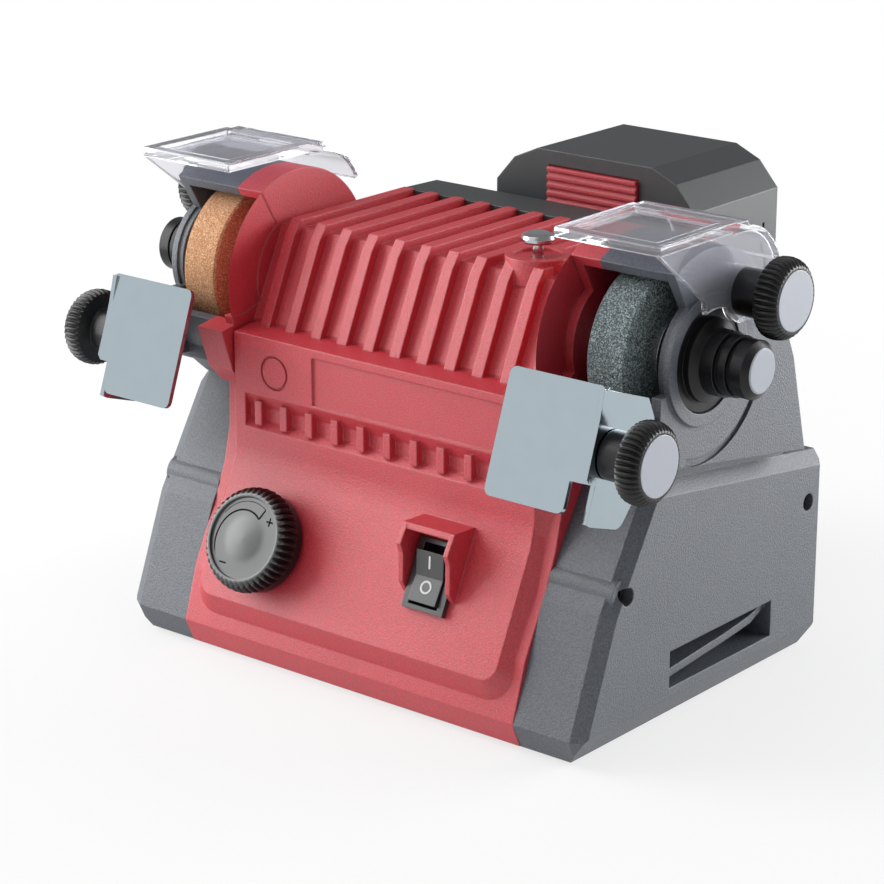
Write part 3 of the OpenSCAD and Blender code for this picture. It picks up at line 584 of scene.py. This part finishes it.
def rest_plate(side):
    """Copy of a bent sheet, plate and flange, with its fold and its free corners rounded."""
    name, node = "rest_plate_" + side, "work_rest_" + side
    shape = bmesh.new()
    shape.from_mesh(nodes[node].data)
    bmesh.ops.remove_doubles(shape, verts=shape.verts, dist=MERGE)
    bmesh.ops.dissolve_limit(shape, angle_limit=FLAT, verts=shape.verts, edges=shape.edges)
    plate = max(shape.faces, key=lambda face: face.calc_area())
    normal, level = plate.normal.copy(), plate.normal.dot(plate.calc_center_median())
    outside = max(abs(vertex.co.x) for vertex in shape.verts)

    def from_fold(edge):
        """Distance from the flange's outer face, and from the plate's face."""
        middle = (edge.verts[0].co + edge.verts[1].co) / 2
        return outside - abs(middle.x), abs(normal.dot(middle) - level)

    def bent(edge):
        return len(edge.link_faces) == 2 and edge.calc_face_angle() > SHARP

    def corner(edge):
        if edge.calc_length() >= SHEET_EDGE or not edge.is_convex:
            return False
        along = (edge.verts[1].co - edge.verts[0].co).normalized()
        from_flange, from_plate = from_fold(edge)
        if abs(along.dot(normal)) > ALONG:
            return from_flange > CLEAR_OF_FOLD
        return abs(along.x) > ALONG and from_plate > CLEAR_OF_PLATE

    def fold(edge):
        return edge.calc_length() > FOLD_LENGTH and max(from_fold(edge)) < FOLD_NEAR

    for picked, offset, steps in ((corner, CORNER, CORNER_STEPS), (fold, FOLD, FOLD_STEPS)):
        edges = [edge for edge in shape.edges if bent(edge) and picked(edge)]
        bmesh.ops.bevel(shape, geom=edges, offset=offset, segments=steps, profile=0.5, affect="EDGES")
    mesh = bpy.data.meshes.new(name)
    shape.to_mesh(mesh)
    shape.free()
    mesh.materials.clear()
    mesh.materials.append(materials["zinc"])
    piece = bpy.data.objects.new(name, mesh)
    bpy.context.scene.collection.objects.link(piece)
    smooth(piece, REST_SHARP)
    dress(piece, name, node, "rest_" + side)
    return piece


rests = [rest_plate(side) for side in ("right", "left")]


# Dial and clamp knobs with a rounded knurl: rings of (radius, height, share of the tooth) in mm

DIAL_RINGS = [
    (3.2, 1.0, 0), (14.6, 1.0, 0), (15.0, 1.4, 0), (15.1, 3.6, 0), (15.2, 4.4, 0),
    (15.9, 5.2, 1), (16.0, 7.0, 1), (15.7, 8.4, 1), (15.1, 9.7, 1), (14.3, 10.6, 0.7),
    (13.6, 10.9, 0), (13.0, 11.0, 0), (12.5, 10.9, 0), (12.3, 10.2, 0), (8.0, 10.1, 0),
    (6.0, 10.3, 0), (3.0, 10.6, 0), (0.02, 10.7, 0), (0.02, 9.4, 0), (3.2, 9.4, 0),
]
DIAL_SIDE = 10.0
DIAL_TEETH, DIAL_TOOTH = 44, 1.3
KNOB_RINGS = [
    (10.2, -7.1, 0), (10.7, -7.0, 0), (11.3, -6.6, 0.7), (11.6, -5.8, 1), (11.7, -4.6, 1),
    (11.7, -3.4, 1), (11.4, -2.2, 1), (10.9, -1.2, 1), (10.0, -0.4, 0.6), (9.5, 0.0, 0),
    (8.7, 0.0, 0), (8.65, -0.8, 0), (0.02, -0.8, 0), (0.02, -3.1, 0),
]
KNOB_TEETH, KNOB_TOOTH = 40, 1.0
HUB_R, HUB_END = 7.0, -8.5
BORE_END, BORE_PLAY = -3.1, 0.2
TOOTH_STEPS, TOOTH_CROWN = 8, 0.6
GRIP_SHARP = 50


def grip(base, out, rings, teeth, tooth):
    """Round grip about an axis, through a closed loop of rings."""
    u = out.orthogonal().normalized()
    v = out.cross(u)
    columns = teeth * TOOTH_STEPS
    vertices, faces = [], []
    for radius, height, share in rings:
        for i in range(columns):
            angle = 2 * math.pi * i / columns
            wave = 0.5 + 0.5 * math.cos(teeth * angle)
            r = radius - tooth * share * (1 - wave ** TOOTH_CROWN)
            vertices.append(base + (r * math.cos(angle) * u + r * math.sin(angle) * v + height * out) * MM)
    for k in range(len(rings)):
        here, up = k * columns, (k + 1) % len(rings) * columns
        for i in range(columns):
            j = (i + 1) % columns
            faces.append((here + i, here + j, up + j, up + i))
    return solid(vertices, faces)


def dial_grip():
    """Speed dial with a smooth skirt, a knurled rim and a slightly domed face."""
    piece = grip(DIAL_BASE, PANEL_OUT, DIAL_RINGS, DIAL_TEETH, DIAL_TOOTH)
    piece.data.materials.append(materials["dial"])
    piece.data.materials.append(materials["knob"])
    for face in piece.data.polygons:
        face.material_index = (face.center - DIAL_BASE).dot(PANEL_OUT) < DIAL_SIDE * MM
    smooth(piece, GRIP_SHARP)
    dress(piece, "dial_grip", "speed_dial", "dial")


def clamp_grip(kind, side):
    """Clamp knob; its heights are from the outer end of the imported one."""
    node = kind + "_knob_" + side
    joint = joints[kind + "_knob_turn_" + side]
    out, base = Vector(joint["axis"]), Vector(joint["pos_m"])
    low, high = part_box(node)
    base.x = high[0] if out.x > 0 else low[0]
    bolt_low, bolt_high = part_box(kind + "_bolts")
    bore = (bolt_high[2] - bolt_low[2]) / 2 / MM + BORE_PLAY
    start = (low[0] - high[0]) / MM
    hub = [(bore, start, 0), (HUB_R, start, 0), (HUB_R, HUB_END, 0)]
    piece = grip(base, out, hub + KNOB_RINGS + [(bore, BORE_END, 0)], KNOB_TEETH, KNOB_TOOTH)
    piece.data.materials.append(materials["knob"])
    smooth(piece, GRIP_SHARP)
    dress(piece, node + "_grip", node, kind + "_clamp_" + side)


dial_grip()
for kind in ("rest", "shield"):
    for side in ("right", "left"):
        clamp_grip(kind, side)


# Marks on the dial and the rocker


class Face:
    """The front of a CAD node, seen along the control panel's normal, on which marks are laid."""

    def __init__(self, node, centre):
        mesh = nodes[node].data
        self.skin = BVHTree.FromPolygons([v.co for v in mesh.vertices], [p.vertices for p in mesh.polygons])
        self.centre = centre

    def at(self, u, v, rise):
        """Point that stands rise above the skin, u to the right and v up from the centre."""
        above = self.centre + u * RIGHT + v * PANEL_UP + 40 * MM * PANEL_OUT
        return self.skin.ray_cast(above, -PANEL_OUT)[0] + rise * PANEL_OUT


def mark(name, face, lines, material, body):
    """Raised marks, each a closed ribbon along a line of (u, v) points, (points, width, closed)."""
    vertices, faces = [], []
    for points, width, closed in lines:
        first = len(vertices)
        count = len(points)
        for i, (u, v) in enumerate(points):
            before = points[i - 1] if closed or i else points[i]
            after = points[(i + 1) % count] if closed or i < count - 1 else points[i]
            along = (Vector(after) - Vector(before)).normalized() * width / 2
            for side in (1, -1):
                for rise in (MARK_RISE, -MARK_SINK):
                    vertices.append(face.at(u - side * along.y, v + side * along.x, rise))
        for i in range(count if closed else count - 1):
            a, b = first + 4 * i, first + 4 * ((i + 1) % count)
            faces += [(a + p, a + q, b + q, b + p) for p, q in ((0, 2), (2, 3), (3, 1), (1, 0))]
        if not closed:
            last = first + 4 * (count - 1)
            faces += [(first, first + 1, first + 3, first + 2), (last, last + 2, last + 3, last + 1)]
    mesh = bpy.data.meshes.new(name)
    mesh.from_pydata(vertices, [], faces)
    mesh.materials.append(material)
    piece = bpy.data.objects.new(name, mesh)
    bpy.context.scene.collection.objects.link(piece)
    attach(piece, body)


def arc(start, end, r_start, r_end, steps=40):
    """Points from angle start to end in degrees, with the radius changing evenly."""
    points = []
    for i in range(steps + 1):
        t = i / steps
        angle = math.radians(start + (end - start) * t)
        r = r_start + (r_end - r_start) * t
        points.append((r * math.cos(angle), r * math.sin(angle)))
    return points


def bar(centre, angle, length, steps=4):
    """Points of a straight bar about centre."""
    u, v = math.cos(math.radians(angle)), math.sin(math.radians(angle))
    reach = [length * (i / steps - 0.5) for i in range(steps + 1)]
    return [(centre[0] + u * r, centre[1] + v * r) for r in reach]


def polar(angle, r):
    return r * math.cos(math.radians(angle)), r * math.sin(math.radians(angle))


MARK_RISE = 0.08 * MM
MARK_SINK = 0.15 * MM

dial = Face("speed_dial", DIAL_BASE)
DIAL_R = 12.8 * MM
DIAL_LINE = 0.5 * MM
WEDGE_START, WEDGE_END = 222, 62
WEDGE_OUT, WEDGE_IN = 0.86 * DIAL_R, 0.58 * DIAL_R
WEDGE_MIDDLE = polar(WEDGE_END, (WEDGE_IN + WEDGE_OUT) / 2)
PLUS = polar(40, 0.80 * DIAL_R)
MINUS = polar(237, 0.80 * DIAL_R)
SIGN = 2.6 * MM
# Dial marks: real raised shapes, coloured with painted groove shade.
mark(
    "dial_marks",
    dial,
    [
        (arc(WEDGE_START, WEDGE_END, 0.92 * DIAL_R, WEDGE_IN), DIAL_LINE, False),
        (arc(150, WEDGE_END, 0.89 * DIAL_R, WEDGE_OUT), 0.4 * DIAL_LINE, False),
        (bar(WEDGE_MIDDLE, WEDGE_END, WEDGE_OUT - WEDGE_IN), DIAL_LINE, False),
        (bar(PLUS, 90, SIGN), DIAL_LINE, False),
        (bar(PLUS, 0, SIGN), DIAL_LINE, False),
        (bar(MINUS, 0, SIGN), DIAL_LINE, False),
    ],
    materials["groove_shade"],
    "dial",
)

rocker_low, rocker_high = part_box("rocker")
rocker = Face("rocker", (Vector(rocker_low) + Vector(rocker_high)) / 2)
mark(
    "rocker_marks",
    rocker,
    [
        (bar((0.0, 3.7 * MM), 90, 3.6 * MM), 0.7 * MM, False),
        ([(u, v - 3.4 * MM) for u, v in arc(0, 351, 1.7 * MM, 1.7 * MM)], 0.6 * MM, True),
    ],
    materials["white"],
    "rocker",
)


# Floor, world and lamps


def floor():
    """White paper that keeps the object's shadow and turns plain white further out."""
    mesh = bpy.data.meshes.new("floor")
    corners = [(x * FLOOR, y * FLOOR, 0.0) for x, y in ((-1, -1), (1, -1), (1, 1), (-1, 1))]
    mesh.from_pydata(corners, [], [(0, 1, 2, 3)])
    piece = bpy.data.objects.new("floor", mesh)
    bpy.context.scene.collection.objects.link(piece)
    s = Shader("floor_paper")
    fibre = s.noise(1.5 * MM, detail=3.0)
    paper = s.blend(s.remap(fibre, 0.3, 0.7), (0.83, 0.83, 0.83), (0.86, 0.86, 0.86))
    s.link(paper, s.bsdf.inputs["Base Color"])
    s.set(Roughness=0.9, Specular_IOR_Level=0.0)
    glow = s.add("ShaderNodeEmission")
    reach = s.add("ShaderNodeVectorMath", operation="LENGTH")
    s.link(s.place, reach.inputs[0])
    path = s.add("ShaderNodeLightPath").outputs
    mirrored = s.math("MAXIMUM", path["Is Glossy Ray"], path["Is Transmission Ray"])
    seen = s.math("MAXIMUM", path["Is Camera Ray"], mirrored)
    share = s.remap(reach.outputs["Value"], 0.16, 0.40, FLOOR_GLOW, 1.0)
    mix = s.add("ShaderNodeMixShader")
    s.link(s.math("MULTIPLY", seen, share), mix.inputs[0])
    s.link(s.bsdf.outputs[0], mix.inputs[1])
    s.link(glow.outputs[0], mix.inputs[2])
    s.link(mix.outputs[0], s.output.inputs["Surface"])
    mesh.materials.append(s.material)


def world():
    """White all round, but dim for reflections except on the side of the lit studio wall."""
    studio = bpy.data.worlds.new("studio")
    bpy.context.scene.world = studio
    studio.use_nodes = True
    tree = studio.node_tree
    tree.nodes.clear()

    def add(kind, *links, **settings):
        node = tree.nodes.new(kind)
        for key, value in settings.items():
            setattr(node, key, value)
        for socket, source in zip(node.inputs, links):
            tree.links.new(source, socket)
        return node

    path = add("ShaderNodeLightPath").outputs
    towards = add("ShaderNodeTexCoord").outputs["Generated"]
    facing = add("ShaderNodeVectorMath", towards, operation="DOT_PRODUCT")
    facing.inputs[1].default_value = Vector(BRIGHT_SIDE).normalized()
    wall = add("ShaderNodeMapRange", facing.outputs["Value"], interpolation_type="SMOOTHSTEP")
    for socket, number in zip(RANGE_SOCKETS, (0.3, 0.85, DIM_LEVEL, 1.0)):
        wall.inputs[socket].default_value = number
    level = add("ShaderNodeMix", path["Is Glossy Ray"])
    level.inputs["A"].default_value = WORLD_FILL
    tree.links.new(wall.outputs[0], level.inputs["B"])
    seen = add("ShaderNodeMath", path["Is Camera Ray"], path["Is Transmission Ray"], operation="MAXIMUM")
    strength = add("ShaderNodeMath", level.outputs[0], seen.outputs[0], operation="MAXIMUM")
    light = add("ShaderNodeBackground")
    light.inputs["Color"].default_value = (1.0, 1.0, 1.0, 1.0)
    tree.links.new(strength.outputs[0], light.inputs["Strength"])
    add("ShaderNodeOutputWorld", light.outputs[0])


def softbox(name, azimuth, elevation, distance, size, radiance):
    """Lamp of that radiance towards the object; azimuth is from the front, positive to the right."""
    turn, lift = math.radians(azimuth), math.radians(elevation)
    data = bpy.data.lights.new(name, "AREA")
    data.shape = "RECTANGLE"
    data.size, data.size_y = size
    data.energy = radiance * math.pi * size[0] * size[1]
    lamp = bpy.data.objects.new(name, data)
    towards = Vector((math.sin(turn) * math.cos(lift), -math.cos(turn) * math.cos(lift), math.sin(lift)))
    lamp.location = MIDDLE + towards * distance
    lamp.rotation_euler = (-towards).to_track_quat("-Z", "Y").to_euler()
    bpy.context.scene.collection.objects.link(lamp)
    return lamp


def flag(lamp, pieces):
    """Keeps a lamp off those pieces, as a flag in the studio does for bare metal."""
    shaded = bpy.data.collections.new(lamp.name + "_flag")
    for piece in pieces:
        shaded.objects.link(piece)
    lamp.light_linking.receiver_collection = shaded
    for item in shaded.collection_objects:
        item.light_linking.link_state = "EXCLUDE"


FLOOR = 6.0
FLOOR_GLOW = 0.72
WORLD_FILL = 0.38
BRIGHT_SIDE = (-0.60, -0.77, 0.22)
DIM_LEVEL = 0.30
MIDDLE = Vector((0.0, 0.0, 0.08))
floor()
world()
key = softbox("key", -60, 18, 0.56, (0.40, 0.58), 4.8)
flag(key, rests)
softbox("rim_right", 140, 10, 0.9, (0.7, 0.5), 8.5)
softbox("top", -30, 72, 1.1, (0.7, 0.7), 1.7)

# Camera fitted to the photograph

CAMERA_PLACE = Vector((0.531235, -0.682703, 0.343701))
CAMERA_AZIMUTH = math.radians(39.24)
CAMERA_ELEVATION = math.radians(18.21)
CAMERA_ROLL = math.radians(0.08)
CAMERA_LENS = 120.54

camera = bpy.data.objects.new("camera", bpy.data.cameras.new("camera"))
camera.data.lens = CAMERA_LENS
camera.data.sensor_width = 36.0
turn = Matrix.Rotation(CAMERA_AZIMUTH, 4, "Z") @ Matrix.Rotation(math.pi / 2 - CAMERA_ELEVATION, 4, "X")
camera.matrix_world = Matrix.Translation(CAMERA_PLACE) @ turn @ Matrix.Rotation(CAMERA_ROLL, 4, "Z")
bpy.context.scene.collection.objects.link(camera)
bpy.context.scene.camera = camera
bpy.context.scene.view_settings.view_transform = "Standard"
